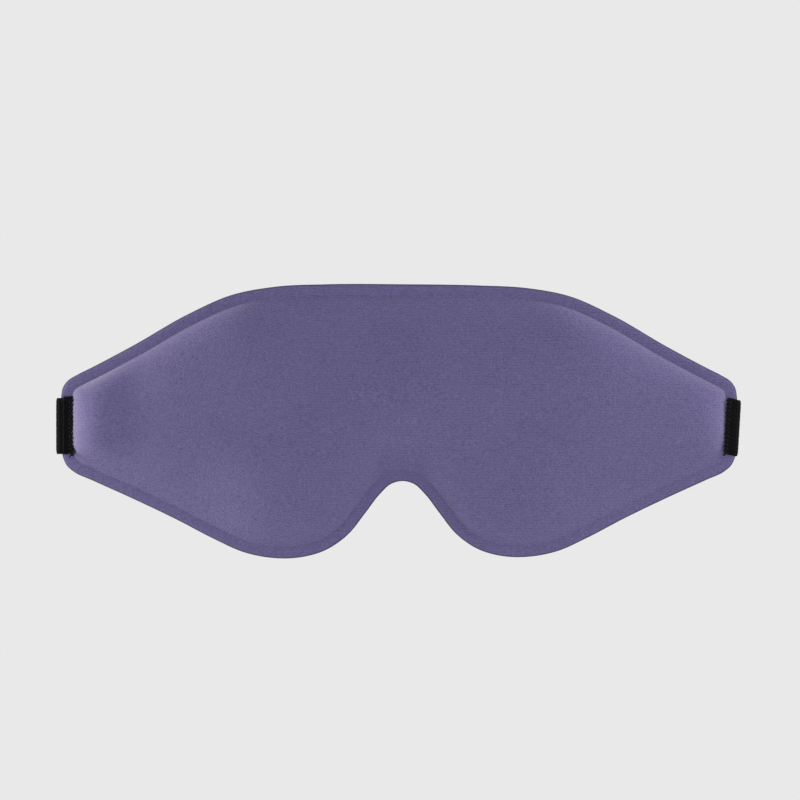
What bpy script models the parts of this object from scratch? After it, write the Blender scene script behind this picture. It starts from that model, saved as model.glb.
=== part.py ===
"""A contoured sleep eye mask with an adjustable elastic strap, modelled as it comes apart on a bench.

Metres, +Z up. The wearer looks along -Y, so the cover's face points to -Y and the strap lies behind, at +Y.
The origin is on the centre plane, level with the strap, on the lining where it meets the bridge of the nose.
The laminate (cover, foam, lining) is one flat outline with a height for each of its faces, and a pre-curve
that sweeps both ends back. The strap is drawn as a line in the XY plane, given its thickness, and extruded
along Z to its width.
"""

import math

import bmesh
import bpy
import numpy as np
from mathutils import Vector
from mathutils.geometry import delaunay_2d_cdt

MM = 0.001
GAP = 0.3 * MM  # between neighbouring pieces

# --- The laminate ---
HALF_WIDTH = 121 * MM
SWEEP = 13 * MM  # how far the ends stand behind the middle
RIM = 4.1 * MM  # width of the pressed rim
SKIN = 0.5 * MM  # cover, lining, and the foam where the rim presses it
LAMINATE = 3 * SKIN + 2 * GAP
DOME = 12 * MM  # crown of the front above the rim
DOME_RUN = 7 * MM  # how soon the crown levels out, inwards from the rim
BOWL_DEPTH = 6.5 * MM
BOWL_RUN = 14 * MM

# Half of the outline, from the top centre round the right end to the nose notch, as (x, z).
HALF_OUTLINE = [
    (0, 50.4), (27, 50.2), (45, 49.3), (60, 46.5), (76, 39.5), (95, 28.7), (110, 20.8),
    (115.6, 18), (118.4, 16.3), (120.3, 13.8), (121, 10), (121, 1.5), (121, -7), (120.4, -10.8),
    (118.9, -14.1), (116.2, -16.4), (110, -19.2), (95, -25.9), (80, -33), (66, -40.2), (56, -44.6), (46, -46.6),
    (36, -46.4), (27, -43.8), (19.5, -38.6), (13, -30.6), (8, -24.1), (4, -20.5), (0, -19.5),
]

# --- The pads on the back ---
PAD_WIDTH = 14 * MM
PAD_HEIGHT = 7.5 * MM
PAD_SKIN = 0.6 * MM
# Centre line of the right eye's pad, as (x, z), from the bridge of the nose over the brow.
PAD_LINE = [
    (13, 2), (16, 17), (29, 26.5), (48, 27), (64, 19), (71.5, 4), (66, -12), (52, -22), (36, -23), (21.5, -13),
]
WING_WIDTH = 4.0 * MM
WING_HEIGHT = 5.5 * MM
WING_SPAN = slice(23, 28)  # the points of the half outline that the right nose wing runs beside

# --- The elastic strap ---
STRAP_WIDTH = 20 * MM
STRAP = 1.0 * MM  # thickness
TAB_END = 117.7 * MM  # where the sewn end lies on the front of the rim, at the crease
FOLD_X = 121.4 * MM  # centre of the fold round the mask's end
BACK_Y = SWEEP + GAP + STRAP / 2  # centre of the stretch that runs straight across behind
LAYER = STRAP + GAP  # centre to centre of two layers that lie on each other

# --- The ring and the slider ---
BAR_RADIUS = 1.0 * MM
BAR_PLAY = 0.45 * MM  # between the ring's bars and the loops round them
RING_X = -40 * MM
RING_BARS = 3.3 * MM  # from the ring's centre to each bar
RING_Y = BACK_Y + STRAP / 2 + BAR_PLAY + BAR_RADIUS
RING_LOOP = BAR_RADIUS + BAR_PLAY + STRAP / 2
HARDWARE_REACH = STRAP_WIDTH / 2 + 0.5 * MM  # from the strap's middle to the inside of a rail
RAIL = 2.0 * MM
SLIDER_X = 50 * MM
SLIDER_HALF = 7.2 * MM
SLIDER_BAR = (2.0 * MM, 1.4 * MM)  # width along the strap, and thickness
SLIDER_CENTRE_BAR_Y = BACK_Y + LAYER + STRAP / 2 + GAP + SLIDER_BAR[1] / 2
SLIDER_LOOP = SLIDER_BAR[1] / 2 + GAP + STRAP / 2
SLIDER_OUTER_BAR_Y = BACK_Y - STRAP / 2 - GAP - SLIDER_BAR[1] / 2
TAIL = 13 * MM  # sewn-back end of a loop, from its bar
MIDDLE_END = 60 * MM  # past the slider, where the right strap begins to bend as it is pulled
RETURN_START = -29.5 * MM  # where the return layer leaves the fixed loop at the ring
STITCH = 0.5 * MM

COVER_COLOUR = (0.133, 0.107, 0.234)
LINING_COLOUR = (0.105, 0.085, 0.190)
FOAM_COLOUR = (0.75, 0.74, 0.70)
STRAP_COLOUR = (0.012, 0.012, 0.014)
PLASTIC_COLOUR = (0.010, 0.010, 0.011)
THREAD_COLOUR = (0.008, 0.008, 0.010)


def smooth_line(points, step, closed):
    """Points about a step apart on a smooth curve through the given ones."""
    p = np.array(points, float)
    if not closed:
        p = np.vstack([2 * p[0] - p[1], p, 2 * p[-1] - p[-2]])
    before, after = np.roll(p, 1, axis=0), np.roll(p, -1, axis=0)
    back = np.linalg.norm(p - before, axis=1)[:, None]
    ahead = np.linalg.norm(after - p, axis=1)[:, None]
    tangent = ((p - before) / back * ahead + (after - p) / ahead * back) / (back + ahead)
    spans = range(len(p)) if closed else range(1, len(p) - 2)
    found = []
    for i in spans:
        j = (i + 1) % len(p)
        length = ahead[i, 0]
        for t in np.arange(0, 1, 1 / math.ceil(length / step)):
            found.append(
                (2 * t**3 - 3 * t**2 + 1) * p[i] + (3 * t**2 - 2 * t**3) * p[j]
                + length * ((t**3 - 2 * t**2 + t) * tangent[i] + (t**3 - t**2) * tangent[j])
            )
    if not closed:
        found.append(p[-2])
    return np.array(found)


def normals_of(line, closed):
    """Unit normals of a flat line, to its left."""
    if closed:
        along = np.roll(line, -1, axis=0) - np.roll(line, 1, axis=0)
    else:
        along = np.gradient(line, axis=0)
    along /= np.linalg.norm(along, axis=1)[:, None]
    return np.stack([-along[:, 1], along[:, 0]], axis=1)


def distance_to(points, loop):
    """How far each point is from a closed line."""
    a, b = loop, np.roll(loop, -1, axis=0)
    d = b - a
    rel = points[:, None] - a
    t = np.clip((rel * d).sum(2) / (d * d).sum(1), 0, 1)
    return np.linalg.norm(rel - t[..., None] * d, axis=2).min(1)


def inside(points, loop):
    """Which points a closed line goes round."""
    a, b = loop, np.roll(loop, -1, axis=0)
    x, z = points[:, 0, None], points[:, 1, None]
    crosses = (a[:, 1] > z) != (b[:, 1] > z)
    rise = np.where(b[:, 1] == a[:, 1], 1, b[:, 1] - a[:, 1])
    return (crosses & (x < a[:, 0] + (z - a[:, 1]) * (b[:, 0] - a[:, 0]) / rise)).sum(1) % 2 == 1


def mirrored(points):
    return [(-x, z) for x, z in reversed(points)]


HALF = [(x * MM, z * MM) for x, z in HALF_OUTLINE]
OUTLINE = smooth_line(HALF + mirrored(HALF[1:-1]), 6 * MM, closed=True)


def pad_line(side):
    """Centre line of one eye's pad: side is 1 for +X and -1 for -X."""
    line = smooth_line([(side * x * MM, z * MM) for x, z in PAD_LINE], 7 * MM, closed=True)
    return line if side > 0 else line[::-1]


def hollow_line(side):
    """The inner edge of one eye's pad, which is also the mouth of its bowl."""
    line = pad_line(side)
    return line - normals_of(line, closed=True) * PAD_WIDTH / 2


HOLLOWS = [hollow_line(1), hollow_line(-1)]


def pre_curve(x):
    return SWEEP * (x / HALF_WIDTH) ** 2


def front_height(points):
    """Y of the cover's outer face."""
    inward = np.clip(distance_to(points, OUTLINE) - RIM, 0, None)
    dome = DOME * (1 - np.exp(-inward / DOME_RUN))
    return pre_curve(points[:, 0]) - LAMINATE - dome


def back_height(points):
    """Y of the lining's outer face, with a bowl for each eye."""
    height = pre_curve(points[:, 0])
    for hollow in HOLLOWS:
        depth = np.where(inside(points, hollow), distance_to(points, hollow), 0)
        height -= BOWL_DEPTH * np.sin(np.clip(depth / BOWL_RUN, 0, 1) * math.pi / 2)
    return height


def make_domain():
    """The outline's inside as flat triangles: lines along the rim and the bowls, and a grid between them."""
    rings = [OUTLINE, OUTLINE - normals_of(OUTLINE, closed=True) * RIM] + HOLLOWS
    pitch = 10 * MM
    rows = np.arange(-52 * MM, 56 * MM, pitch * math.sqrt(3) / 2)
    grid = np.array([
        (x + (i % 2) * pitch / 2, z)
        for i, z in enumerate(rows)
        for x in np.arange(-HALF_WIDTH, HALF_WIDTH, pitch)
    ])
    clear = inside(grid, OUTLINE) & (distance_to(grid, OUTLINE) > RIM + 0.4 * pitch)
    for hollow in HOLLOWS:
        clear &= distance_to(grid, hollow) > 0.35 * pitch
    points, edges = [], []
    for ring in rings:
        first = len(points)
        points += [tuple(p) for p in ring]
        edges += [(first + i, first + (i + 1) % len(ring)) for i in range(len(ring))]
    points += [tuple(p) for p in grid[clear]]
    flat = delaunay_2d_cdt([Vector(p) for p in points], edges, [], 0, 1e-7, False)
    points, triangles = np.array([tuple(p) for p in flat[0]]), np.array(flat[2])
    return points, triangles[inside(points[triangles].mean(1), OUTLINE)].tolist()


def make_material(name, colour, roughness, metallic=0.0):
    material = bpy.data.materials.new(name)
    material.use_nodes = True
    shader = material.node_tree.nodes["Principled BSDF"]
    shader.inputs["Base Color"].default_value = (*colour, 1)
    shader.inputs["Roughness"].default_value = roughness
    shader.inputs["Metallic"].default_value = metallic
    return material


def add_object(name, vertices, faces, material, parent=None, smooth=False):
    """One closed solid, given in the part's frame. Its origin is its parent's, or the part's own."""
    origin = parent.location if parent else Vector()
    mesh = bpy.data.meshes.new(name)
    mesh.from_pydata([Vector(v) - origin for v in vertices], [], faces)
    turner = bmesh.new()
    turner.from_mesh(mesh)
    bmesh.ops.recalc_face_normals(turner, faces=turner.faces)
    turner.to_mesh(mesh)
    turner.free()
    mesh.materials.append(material)
    if smooth:
        mesh.shade_smooth()
        mesh.set_sharp_from_angle(angle=math.radians(35))
    obj = bpy.data.objects.new(name, mesh)
    bpy.context.collection.objects.link(obj)
    obj.parent = parent
    return obj


def add_joint(name, location):
    """An empty on a joint's axis, which carries the pieces that move with it."""
    joint = bpy.data.objects.new(name, None)
    joint.location = location
    bpy.context.collection.objects.link(joint)
    return joint


def add_slab(name, domain, front, back, material):
    """A layer of the laminate: the flat triangles at two heights, and a wall round the edge."""
    flat, triangles = domain
    count = len(flat)
    vertices = [(x, y, z) for height in (front, back) for (x, z), y in zip(flat, height)]
    faces = [f[::-1] for f in triangles] + [[i + count for i in f] for f in triangles]
    sides = {(f[i], f[(i + 1) % 3]) for f in triangles for i in range(3)}
    faces += [(a, b, b + count, a + count) for a, b in sides if (b, a) not in sides]
    add_object(name, vertices, faces, material, smooth=True)


def add_laminate(cover, foam, lining):
    domain = make_domain()
    front, back = front_height(domain[0]), back_height(domain[0])
    add_slab("front_cover", domain, front, front + SKIN, cover)
    add_slab("foam_core", domain, front + SKIN + GAP, back - SKIN - GAP, foam)
    add_slab("back_lining", domain, back - SKIN, back, lining)


def lining_base(points):
    """Y just behind the lining, where the pads stand."""
    return pre_curve(points[:, 0]) + GAP


def add_swept(name, line, section, closed, material):
    """A section of (across, up) points carried along a line on the lining, up being away from it."""
    across = normals_of(line, closed)
    vertices, size = [], len(section)
    for point, normal in zip(line, across):
        ring = np.array([point + normal * s for s, _ in section])
        height = lining_base(ring) + np.array([up for _, up in section])
        vertices += [(x, y, z) for (x, z), y in zip(ring, height)]
    steps = len(line) if closed else len(line) - 1
    faces = []
    for i in range(steps):
        a, b = i * size, (i + 1) % len(line) * size
        faces += [(a + k, a + (k + 1) % size, b + (k + 1) % size, b + k) for k in range(size)]
    if not closed:
        last = (len(line) - 1) * size
        faces += [tuple(range(size)), tuple(range(last + size - 1, last - 1, -1))]
    add_object(name, vertices, faces, material, smooth=True)


def arch(width, height, steps):
    """Half of an ellipse, from one foot over to the other."""
    angles = [math.pi * i / steps for i in range(steps + 1)]
    return [(math.cos(a) * width / 2, math.sin(a) * height) for a in angles]


def add_covered_pad(name, line, width, height, closed, materials):
    """A fabric tunnel along a line on the lining, and the foam strip in it."""
    steps = 6
    outer = arch(width, height, steps)
    inner = arch(width - 2 * PAD_SKIN, height - PAD_SKIN, steps)
    core = arch(width - 2 * PAD_SKIN - 2 * GAP, height - PAD_SKIN - GAP, steps)
    foam, lining = materials
    add_swept(name.format("cover"), line, outer + inner[::-1], closed, lining)
    add_swept(name.format("foam"), line, core, closed, foam)


def add_pads(foam, lining):
    """For each eye a padded ring, and on each side of the notch a padded wing."""
    notch = smooth_line(HALF[WING_SPAN], 4 * MM, closed=False)
    wing = notch - normals_of(notch, closed=False) * (RIM + GAP + WING_WIDTH / 2)
    for side, where in ((1, "right"), (-1, "left")):
        add_covered_pad("eye_pad_{}_" + where, pad_line(side), PAD_WIDTH, PAD_HEIGHT, True, (foam, lining))
        line = wing * (side, 1)
        add_covered_pad("nose_wing_{}_" + where, line, WING_WIDTH, WING_HEIGHT, False, (foam, lining))


def arc(centre, radius, start, end, steps=8):
    """Points of an arc in the XY plane, between two angles in degrees."""
    angles = [math.radians(start + (end - start) * i / steps) for i in range(steps + 1)]
    return [(centre[0] + radius * math.cos(a), centre[1] + radius * math.sin(a)) for a in angles]


def add_band(name, line, width, thickness, material, parent=None):
    """A flat band standing on edge: a line in the XY plane, thickened and extruded along Z."""
    line = np.array(line)
    along = np.diff(line, axis=0)
    along /= np.linalg.norm(along, axis=1)[:, None]
    before, after = np.vstack([along[:1], along]), np.vstack([along, along[-1:]])
    mitre = before + after
    mitre /= (mitre * after).sum(1)[:, None]
    normal = np.stack([-mitre[:, 1], mitre[:, 0]], axis=1) * thickness / 2
    outline = np.vstack([line + normal, (line - normal)[::-1]])
    count = len(outline)
    vertices = [(x, y, z) for z in (-width / 2, width / 2) for x, y in outline]
    faces = [(i, (i + 1) % count, (i + 1) % count + count, i + count) for i in range(count)]
    half = count // 2
    for i in range(half - 1):
        ends = (i, i + 1, count - 2 - i, count - 1 - i)
        faces += [ends, tuple(k + count for k in reversed(ends))]
    add_object(name, vertices, faces, material, parent, smooth=True)


def rim_front(x):
    return pre_curve(x) - LAMINATE


def tab_and_fold(side):
    """From the sewn end on the front of the rim, round the mask's end, to the start of the straight stretch."""
    tab_y = rim_front(FOLD_X) - GAP - STRAP / 2
    start_y = rim_front(TAB_END) - GAP - STRAP / 2
    fold = arc((FOLD_X, (tab_y + BACK_Y) / 2), (BACK_Y - tab_y) / 2, -90, 90)
    return [(side * x, y) for x, y in [(TAB_END, start_y)] + fold]


def sewn_tail(bar_x, loop_top, away, layers):
    """From a loop's far side down onto the layer below, and along it to its cut end."""
    down = BACK_Y + layers * LAYER
    return [
        (bar_x + away * 1.2 * MM, loop_top),
        (bar_x + away * 4.8 * MM, down + 0.1 * MM),
        (bar_x + away * 5.8 * MM, down),
        (bar_x + away * TAIL, down),
    ]


def add_strap(elastic, strap_back, slider):
    """The left strap ends in a loop on the ring. The right one turns round the ring and back to the slider."""
    left_bar, right_bar = RING_X - RING_BARS, RING_X + RING_BARS
    loop_top = RING_Y + RING_LOOP
    left = tab_and_fold(-1) + arc((left_bar, RING_Y), RING_LOOP, -90, 90)
    left += sewn_tail(left_bar, loop_top, -1, 1)
    add_band("strap_left", left, STRAP_WIDTH, STRAP, elastic, strap_back)
    run = tab_and_fold(1) + [(MIDDLE_END + GAP, BACK_Y)]
    add_band("strap_right_run", run, STRAP_WIDTH, STRAP, elastic, strap_back)
    turn = arc((right_bar, RING_Y), RING_LOOP, -90, -270)
    rejoin = [(right_bar + 1.2 * MM, loop_top), (right_bar + 4.8 * MM, BACK_Y + LAYER + 0.1 * MM)]
    rejoin += [(right_bar + 5.8 * MM, BACK_Y + LAYER), (RETURN_START, BACK_Y + LAYER)]
    middle = [(MIDDLE_END, BACK_Y)] + turn + rejoin
    add_band("strap_right_middle", middle, STRAP_WIDTH, STRAP, elastic, strap_back)
    centre = (SLIDER_X + SLIDER_BAR[0] / 2 - 0.1 * MM, SLIDER_CENTRE_BAR_Y)
    back = [(RETURN_START + GAP, BACK_Y + LAYER)] + arc(centre, SLIDER_LOOP, -90, 90)
    back += sewn_tail(SLIDER_X, SLIDER_CENTRE_BAR_Y + SLIDER_LOOP, -1, 2)
    add_band("strap_right_return", back, STRAP_WIDTH, STRAP, elastic, slider)


def box(low, high):
    """Corners and faces of a box."""
    corners = [(x, y, z) for x in (low[0], high[0]) for y in (low[1], high[1]) for z in (low[2], high[2])]
    return corners, [(0, 1, 3, 2), (4, 6, 7, 5), (0, 4, 5, 1), (2, 3, 7, 6), (0, 2, 6, 4), (1, 5, 7, 3)]


def join(obj, pieces):
    """Unites helper solids with an object and hides them."""
    for piece in pieces:
        piece.hide_render = True
        piece.display_type = "WIRE"
        union = obj.modifiers.new("join_" + piece.name, "BOOLEAN")
        union.operation = "UNION"
        union.object = piece


def add_bar(name, x, y, width, thickness, material, parent):
    """A bar along Z that reaches into both rails."""
    reach = HARDWARE_REACH + RAIL / 2
    corners, faces = box((x - width / 2, y - thickness / 2, -reach), (x + width / 2, y + thickness / 2, reach))
    return add_object(name, corners, faces, material, parent)


def add_slider(plastic, slider):
    """Two bowed rails, a bar at each end on the mask's side of the strap, and a raised bar in the middle."""
    low = SLIDER_OUTER_BAR_Y - SLIDER_BAR[1] / 2
    crown = SLIDER_CENTRE_BAR_Y + SLIDER_BAR[1] / 2
    steps = 8
    across = [SLIDER_X + SLIDER_HALF * (2 * i / steps - 1) for i in range(steps + 1)]
    rise = [math.cos(math.pi / 2 * (2 * i / steps - 1)) for i in range(steps + 1)]
    under = [(x, low + (crown - low - SLIDER_BAR[1]) * r) for x, r in zip(across, rise)]
    over = [(x, low + SLIDER_BAR[1] + (crown - low - SLIDER_BAR[1]) * r) for x, r in zip(across, rise)]
    rails = []
    for name, end in (("slider", 1), ("slider_lower_rail", -1)):
        inner, outer = end * HARDWARE_REACH, end * (HARDWARE_REACH + RAIL)
        outline = under + over[::-1]
        count = len(outline)
        corners = [(x, y, z) for z in (inner, outer) for x, y in outline]
        faces = [(i, (i + 1) % count, (i + 1) % count + count, i + count) for i in range(count)]
        for i in range(steps):
            ends = (i, i + 1, count - 2 - i, count - 1 - i)
            faces += [ends, tuple(k + count for k in reversed(ends))]
        rails.append(add_object(name, corners, faces, plastic, slider))
    width, thickness = SLIDER_BAR
    inset = SLIDER_HALF - width / 2
    bars = [
        add_bar(name, x, y, width, thickness - 0.02 * MM, plastic, slider)
        for name, x, y in (
            ("slider_near_bar", SLIDER_X - inset, SLIDER_OUTER_BAR_Y),
            ("slider_far_bar", SLIDER_X + inset, SLIDER_OUTER_BAR_Y),
            ("slider_centre_bar", SLIDER_X, SLIDER_CENTRE_BAR_Y),
        )
    ]
    join(rails[0], rails[1:] + bars)


def add_ring(plastic, strap_back):
    """A rectangular ring bent from round wire: a circle swept along a path with round corners."""
    reach = HARDWARE_REACH + BAR_RADIUS
    corner = 1.6 * MM
    flat, tall = RING_BARS - corner, reach - corner
    path = []
    for quarter, (x, z) in enumerate([(flat, tall), (-flat, tall), (-flat, -tall), (flat, -tall)]):
        path += arc((RING_X + x, z), corner, 90 * quarter, 90 * quarter + 90, 3)
    path = np.array(path)
    normals = normals_of(path, closed=True)
    sides = 8
    vertices, faces = [], []
    for point, normal in zip(path, normals):
        for k in range(sides):
            a = 2 * math.pi * (k + 0.5) / sides
            x, z = point + normal * BAR_RADIUS * math.cos(a)
            vertices.append((x, RING_Y + BAR_RADIUS * math.sin(a), z))
    for i in range(len(path)):
        a, b = i * sides, (i + 1) % len(path) * sides
        faces += [(a + k, a + (k + 1) % sides, b + (k + 1) % sides, b + k) for k in range(sides)]
    add_object("ring", vertices, faces, plastic, strap_back, smooth=True)


def add_stitching(thread, strap_back, slider):
    """A band of zigzag thread over each sewn end."""
    for side, where in ((1, "right"), (-1, "left")):
        front = rim_front(TAB_END) - GAP - STRAP - GAP - STITCH / 2
        line = [(TAB_END - 0.9 * MM, front - 0.1 * MM), (TAB_END + 1.6 * MM, front + 0.3 * MM)]
        line = [(side * x, y) for x, y in line]
        add_band("tab_stitching_" + where, line, STRAP_WIDTH + 1.0 * MM, STITCH, thread)
    for name, bar_x, layers, parent in (
        ("ring_stitching", RING_X - RING_BARS, 1, strap_back),
        ("slider_stitching", SLIDER_X, 2, slider),
    ):
        y = BACK_Y + layers * LAYER + STRAP / 2 + GAP + STITCH / 2
        line = [(bar_x - TAIL + 1.0 * MM, y), (bar_x - TAIL + 3.0 * MM, y)]
        add_band(name, line, STRAP_WIDTH - 2 * MM, STITCH, thread, parent)


def main():
    for obj in list(bpy.data.objects):
        bpy.data.objects.remove(obj)
    cover = make_material("cover_knit", COVER_COLOUR, 0.9)
    lining = make_material("lining_knit", LINING_COLOUR, 0.92)
    foam = make_material("foam", FOAM_COLOUR, 0.95)
    elastic = make_material("elastic", STRAP_COLOUR, 0.85)
    plastic = make_material("plastic", PLASTIC_COLOUR, 0.4)
    thread = make_material("thread", THREAD_COLOUR, 0.7)
    strap_back = add_joint("strap_back_joint", (0, BACK_Y, 0))
    slider = add_joint("slider_joint", (SLIDER_X, BACK_Y, 0))
    add_laminate(cover, foam, lining)
    add_pads(foam, lining)
    add_strap(elastic, strap_back, slider)
    add_ring(plastic, strap_back)
    add_slider(plastic, slider)
    add_stitching(thread, strap_back, slider)


main()
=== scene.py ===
"""The looks of the sleep eye mask: knit cover, moulded foam, padded eye rings, woven elastic, stitching.

Every piece stands where the CAD frame says. The outline and the strap's route repeat the design's own points.
"""

import math
import random

import bmesh
import bpy
import numpy as np
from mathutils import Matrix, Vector
from mathutils.geometry import delaunay_2d_cdt


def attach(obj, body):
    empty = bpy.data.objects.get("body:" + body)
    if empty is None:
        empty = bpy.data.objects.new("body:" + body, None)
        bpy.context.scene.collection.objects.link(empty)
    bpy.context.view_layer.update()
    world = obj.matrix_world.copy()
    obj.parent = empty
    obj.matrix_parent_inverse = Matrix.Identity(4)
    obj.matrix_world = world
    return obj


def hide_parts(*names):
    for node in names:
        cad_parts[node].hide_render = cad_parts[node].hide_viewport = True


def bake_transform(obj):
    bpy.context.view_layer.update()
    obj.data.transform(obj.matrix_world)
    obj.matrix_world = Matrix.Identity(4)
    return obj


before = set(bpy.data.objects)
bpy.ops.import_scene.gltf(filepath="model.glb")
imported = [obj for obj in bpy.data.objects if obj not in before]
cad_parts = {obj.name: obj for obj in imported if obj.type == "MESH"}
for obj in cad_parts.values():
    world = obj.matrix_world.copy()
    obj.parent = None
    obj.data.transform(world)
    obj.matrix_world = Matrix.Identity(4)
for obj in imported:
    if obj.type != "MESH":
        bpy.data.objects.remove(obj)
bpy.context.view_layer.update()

MM = 0.001
ABOUT_A_TURN = 6.3  # radians, the span of a random phase
RIPPLE_WAVES = 14

# --- The laminate ---
HALF_WIDTH = 121 * MM
SWEEP = 13 * MM  # how far the ends stand behind the middle
RIM = 4.1 * MM  # width of the pressed rim
LAMINATE = 2.1 * MM  # thickness of the rim
EDGE_ROUND = 0.9 * MM
SHOULDER = 7.6 * MM  # how far the front rises above the rim
FIRM_RUN = 2.4 * MM  # how soon it does at the ends
SOFT_RUN = 6.0 * MM  # and at the middle of the brow and along the bottom
SLOW_RUN = 13 * MM  # the share of the rise that doesn't come at once
CROWN = 4.8 * MM  # what the middle rises further
CROWN_RUN = 22 * MM
BOWL_DEPTH = 6.5 * MM
BOWL_RUN = 5 * MM
CLOTH = 0.45 * MM  # thickness of the knit
BOND = 0.05 * MM  # between the knit and the foam
PITCH = 1.55 * MM  # size of the laminate's triangles
# Rings of points inside the outline, in mm, close together at the cut edge and at the foot of the front.
RING_OFFSETS = (0, 0.12, 0.35, 0.7, 1.2, 2.4, 3.5, 3.9, 4.1, 4.3, 4.6, 5.0, 5.5, 6.2, 7.1)
OUTLINE_STEP = 1.3 * MM
NOTCH_TILT = 0.7 * MM  # how far the rim leans back over the nose
EDGE_SHADE_WIDTH = 0.7 * MM  # width of the painted shade line along the cut edge, darker and without sheen
CREASE = 0.08 * MM  # depth of the pressed line at the rim's inner edge
LEFT_REACH = (1.0083, 1.006)  # the left half is a little longer and higher than the right
RIGHT_REACH = (0.9884, 0.996)

# Half of the outline, from the top centre round the right end to the nose notch, as (x, z).
HALF_OUTLINE = [
    (0, 50.4), (27, 50.2), (45, 49.3), (60, 46.5), (76, 39.5), (95, 28.7), (110, 20.8),
    (115.6, 18), (118.4, 16.3), (120.3, 13.8), (121, 10), (121, 1.5), (121, -7), (120.4, -10.8),
    (118.9, -14.1), (116.2, -16.4), (110, -19.2), (95, -25.9), (80, -33), (66, -40.2), (56, -44.6),
    (46, -46.6), (36, -46.4), (27, -43.8), (19.5, -38.6), (13, -30.6), (8, -24.1), (4, -20.5), (0, -19.5),
]

# --- The pads on the back ---
PAD_WIDTH = 14 * MM
PAD_HEIGHT = 7.5 * MM
PAD_LINE = [
    (13, 2), (16, 17), (29, 26.5), (48, 27), (64, 19), (71.5, 4),
    (66, -12), (52, -22), (36, -23), (21.5, -13),
]
WING_WIDTH = 4.0 * MM
WING_HEIGHT = 5.5 * MM
WING_SPAN = slice(23, 28)  # the points of the half outline that the right nose wing runs beside
PAD_GAP = 0.1 * MM  # between a pad and the lining
PAD_SKIN = 0.6 * MM
PAD_STEPS = 22  # round the section of an eye pad
WING_STEPS = 24
SWELL = 0.7 * MM  # what a pad's skin is made lower by before it swells
SWELL_CAP = 1.4 * MM  # the furthest a point of it may move
SIM_SCALE = 20  # a pad's skin is simulated this many times larger
SIM_FRAMES = 20
CLOTH_SLACK = 0.05

# --- The elastic strap ---
STRAP_WIDTH = 20 * MM
STRAP = 1.0 * MM
BACK_Y = SWEEP + 0.8 * MM  # the stretch that runs straight across behind
LAYER = 1.3 * MM  # centre to centre of two layers that lie on each other
RING_X = -40 * MM
RING_BARS = 3.3 * MM
RING_LOOP = 1.95 * MM  # radius of the strap's middle line round a bar
RING_Y = BACK_Y + RING_LOOP
SLIDER_X = 50 * MM
SLIDER_LOOP = 1.5 * MM
SLIDER_CENTRE_BAR_Y = BACK_Y + LAYER + SLIDER_LOOP
TAIL = 13 * MM  # from a bar to the end that is sewn back beside it
MIDDLE_END = 60 * MM  # where the right strap's run meets its middle
RETURN_START = -29.5 * MM  # and its middle meets the return
CALM = (-27 * MM, 35 * MM)  # the return draws together between these two x as the slider moves
CALM_RUN = 12 * MM
TAB_END = {-1: 117.8 * MM, 1: 115.6 * MM}  # where each sewn end stops on the front of the rim
FOLD_X = {-1: 121.7 * MM, 1: 118.1 * MM}
TAB_LIFT = {-1: 0.1 * MM, 1: 0.3 * MM}  # the end lies on the foot of the dome
TAB_GAP = 0.05 * MM
TAB_TILT = 0.06
STRAP_STEP = 0.3 * MM
STRAP_COLUMNS = 57
RIDGE = 0.3 * MM  # height of the ridge along the left end
RIDGE_X = 120.6 * MM
SAG = 0.8 * MM  # how far the right strap sinks just after its sewn end

# --- Stitching ---
THREAD_RADIUS = 0.2 * MM
SEAM_RADIUS = 0.16 * MM
TOP_STITCHES = {-1: 6, 1: 0}  # over the top edge of each sewn end
TEETH = 14  # overlock stitches down a sewn end
TOOTH = 0.45 * MM  # how far they reach past the strap's cut end
BARTACK_ROWS = 34
STITCH_LENGTH = 2.1 * MM
STITCH_SPACE = 0.9 * MM
SEAM_OFFSET = 1.4 * MM  # from a pad's edge to the seam round it

# --- Yarns and weaves, in millimetres because the textures are ---
KNIT_ROW = 1.0
KNIT_WALE = 0.75
ROW_TURN = 30.0  # to the left of here the rows of the knit run more and more on the bias
GRAIN = 0.6
WEFT = 0.9
STRAP_RIB = 1.43

# --- The studio ---
CAMERA_DISTANCE = 2.4
VIEW_X = -0.85 * MM  # the middle of the view
VIEW_Z = 9.3 * MM
FRAME_WIDTH = 285.7 * MM  # width of the view
OUTLINE_Y = 10 * MM  # at this depth, which is about that of the outline
BACKDROP = 0.8148
AMBIENT = 0.588
FLOOR_Z = -0.6
FLOOR_RADIUS = 2.5


# ---------------------------------------------------------------- lines and fields


def smooth_line(points, step, closed):
    """Points about a step apart on a smooth curve through the given ones."""
    p = np.array(points, float)
    if not closed:
        p = np.vstack([2 * p[0] - p[1], p, 2 * p[-1] - p[-2]])
    before, after = np.roll(p, 1, axis=0), np.roll(p, -1, axis=0)
    back = np.linalg.norm(p - before, axis=1)[:, None]
    ahead = np.linalg.norm(after - p, axis=1)[:, None]
    tangent = ((p - before) / back * ahead + (after - p) / ahead * back) / (back + ahead)
    spans = range(len(p)) if closed else range(1, len(p) - 2)
    found = []
    for i in spans:
        j = (i + 1) % len(p)
        length = ahead[i, 0]
        for t in np.arange(0, 1, 1 / math.ceil(length / step)):
            found.append(
                (2 * t**3 - 3 * t**2 + 1) * p[i] + (3 * t**2 - 2 * t**3) * p[j]
                + length * ((t**3 - 2 * t**2 + t) * tangent[i] + (t**3 - t**2) * tangent[j])
            )
    if not closed:
        found.append(p[-2])
    return np.array(found)


def normals_of(line, closed):
    """Unit normals of a flat line, to its left."""
    if closed:
        along = np.roll(line, -1, axis=0) - np.roll(line, 1, axis=0)
    else:
        along = np.gradient(line, axis=0)
    along /= np.linalg.norm(along, axis=1)[:, None]
    return np.stack([-along[:, 1], along[:, 0]], axis=1)


def lengths_along(line):
    """How far along a line each of its points is."""
    return np.concatenate([[0], np.cumsum(np.linalg.norm(np.diff(line, axis=0), axis=1))])


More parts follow.
